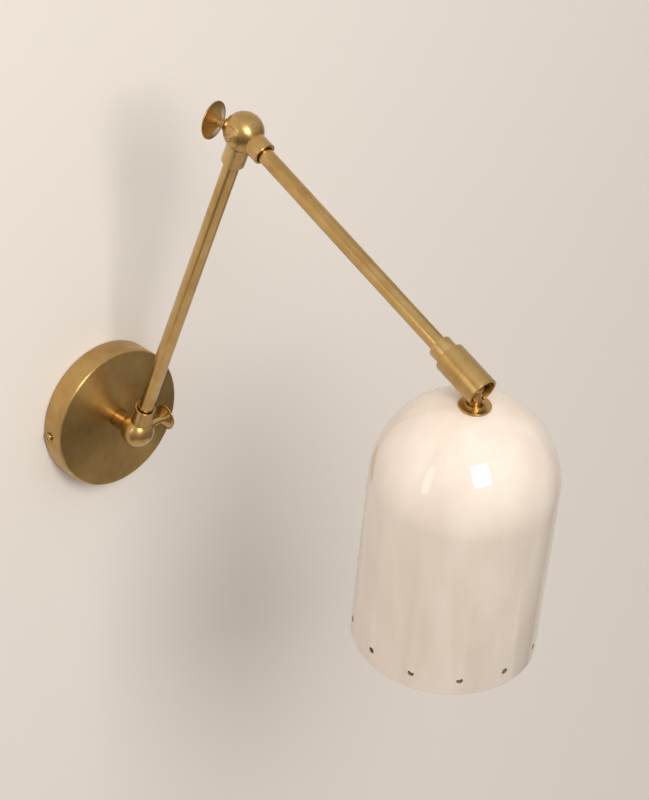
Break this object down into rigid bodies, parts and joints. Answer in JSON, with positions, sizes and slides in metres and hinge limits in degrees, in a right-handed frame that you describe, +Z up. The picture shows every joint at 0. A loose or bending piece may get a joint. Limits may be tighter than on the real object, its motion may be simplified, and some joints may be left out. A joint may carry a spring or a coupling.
{
  "type": "swing arm wall sconce",
  "caption": "Wall sconce with a round canopy, a two-part tube arm on clamped ball joints, a swivel cup and a tall domed shade with vents near its rim.",
  "frame": {"origin": "centre of the wall plate's face against the wall", "axes": "+Y into the wall, +Z up, +X to the right seen from the front"},
  "size_m": [0.1427, 0.4911, 0.3988],
  "materials": {
    "satin_brass": "satin brushed, aged",
    "plated_steel": "zinc plated",
    "ivory_glaze": "gloss",
    "white_porcelain": "glazed",
    "ground_green": "satin",
    "cable_sleeve": "matt"
  },
  "bodies": {
    "wall_mount": {"wall_plate": "plated_steel", "canopy": "satin_brass", "stem_bush": "satin_brass", "canopy_screw_left": "satin_brass", "canopy_screw_right": "satin_brass", "ground_screw": "ground_green"},
    "stem": {"stem": "satin_brass", "wall_core": "satin_brass", "stem_washer": "plated_steel", "stem_nut": "plated_steel"},
    "lower_arm": {"wall_ball": "satin_brass", "wall_ball_plug": "satin_brass", "lower_socket": "satin_brass", "lower_tube": "satin_brass", "lower_wire": "cable_sleeve", "elbow_saddle": "satin_brass", "elbow_core": "satin_brass"},
    "wall_knob": {"wall_knob": "satin_brass"},
    "upper_arm": {"elbow_ball": "satin_brass", "elbow_cap": "satin_brass", "pivot_screw": "satin_brass", "upper_tube": "satin_brass", "upper_wire": "cable_sleeve", "end_collar": "satin_brass", "swivel_nipple": "plated_steel", "nipple_nut": "plated_steel"},
    "elbow_knob": {"elbow_knob": "satin_brass"},
    "swivel_cup": {"swivel_cup": "satin_brass", "tilt_pin": "plated_steel"},
    "shade": {"shade_stud": "satin_brass", "shade_flange": "satin_brass", "shade": "ivory_glaze", "shade_washer": "plated_steel", "shade_nut": "plated_steel", "holder_cap": "satin_brass", "holder_body": "white_porcelain", "screw_shell": "satin_brass", "centre_contact": "satin_brass"}
  },
  "joints": [
    {"name": "stem_swivel", "type": "hinge", "parent": "wall_mount", "child": "stem", "pos_m": [0, -0.0455, 0], "axis": [0, 1, 0], "range_deg": [-90, 90]},
    {"name": "wall_hinge", "type": "hinge", "parent": "stem", "child": "lower_arm", "pos_m": [0, -0.0455, 0], "axis": [1, 0, 0], "range_deg": [-23, 67]},
    {"name": "elbow_hinge", "type": "hinge", "parent": "lower_arm", "child": "upper_arm", "pos_m": [0, -0.18282, 0.32194], "axis": [1, 0, 0], "range_deg": [-15, 18]},
    {"name": "cup_swivel", "type": "hinge", "parent": "upper_arm", "child": "swivel_cup", "pos_m": [0, -0.43356, 0.21447], "axis": [0, -0.9191, -0.3939], "range_deg": [-170, 170]},
    {"name": "shade_tilt", "type": "hinge", "parent": "swivel_cup", "child": "shade", "pos_m": [0, -0.43356, 0.21447], "axis": [0.9998, -0.0076, 0.0176], "range_deg": [-75.1, 14.9]},
    {"name": "wall_knob_turn", "type": "hinge", "parent": "lower_arm", "child": "wall_knob", "pos_m": [0, -0.0455, 0], "axis": [1, 0, 0], "range_deg": [0, 360]},
    {"name": "elbow_knob_turn", "type": "hinge", "parent": "upper_arm", "child": "elbow_knob", "pos_m": [0, -0.18282, 0.32194], "axis": [-0.2436, 0.9675, 0.0677], "range_deg": [0, 360]}
  ]
}
